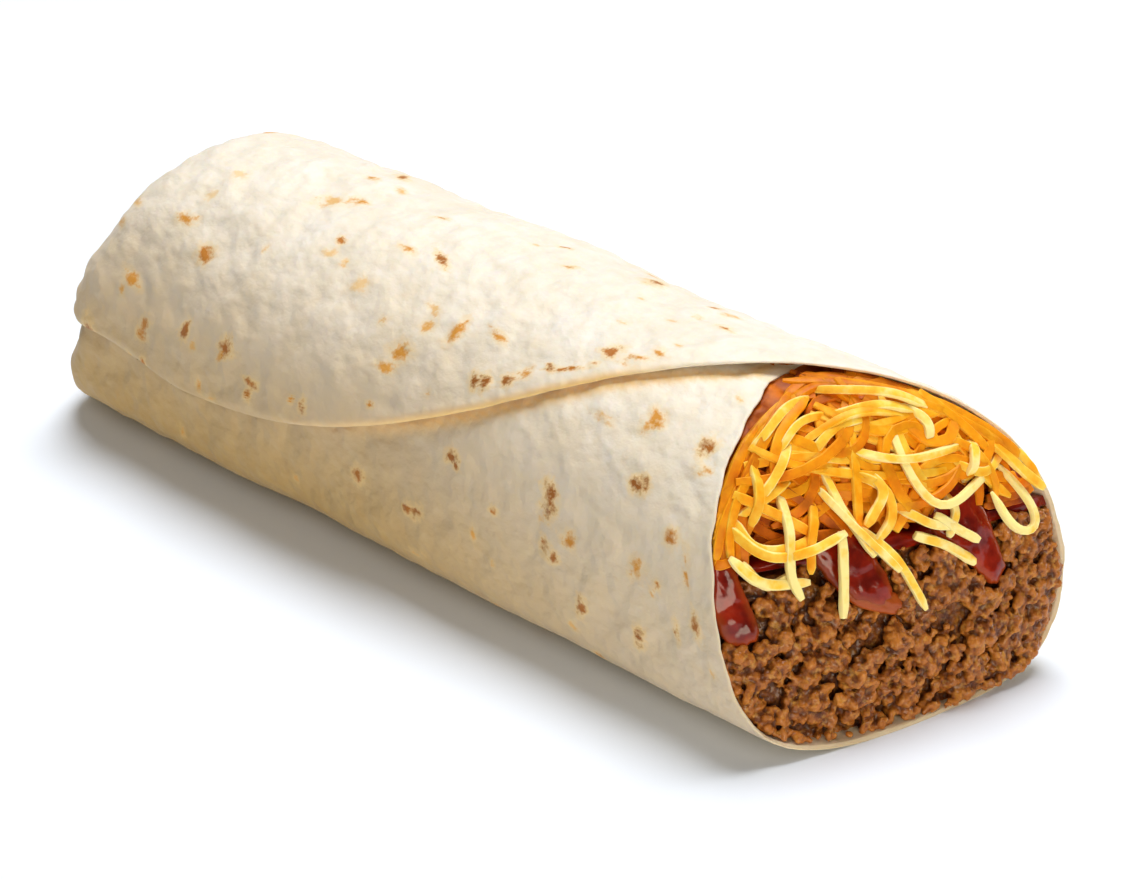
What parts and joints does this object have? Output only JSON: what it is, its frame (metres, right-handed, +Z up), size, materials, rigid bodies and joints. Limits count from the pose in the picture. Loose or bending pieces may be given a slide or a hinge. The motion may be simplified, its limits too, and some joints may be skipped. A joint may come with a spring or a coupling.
{
  "type": "burrito",
  "caption": "Burrito lying flat: a toasted flour tortilla, tucked shut at one end, round ground beef, red sauce and shredded cheese that show at its open end",
  "frame": {"origin": "on the surface it lies on, under the middle of the whole burrito", "axes": "+X from the tucked end to the open mouth, +Y to the far side where the outer layer starts, +Z up"},
  "size_m": [0.182, 0.0612, 0.0507],
  "materials": {
    "tortilla": "matte, floury, with small toasted spots",
    "ground_beef": "moist crumbs with a fatty glisten",
    "red_sauce": "wet gloss",
    "shredded_cheese": "satin, slightly translucent"
  },
  "bodies": {
    "root": {"tortilla": "tortilla", "ground_beef": "ground_beef", "red_sauce": "red_sauce", "shredded_cheese": "shredded_cheese"}
  },
  "joints": []
}
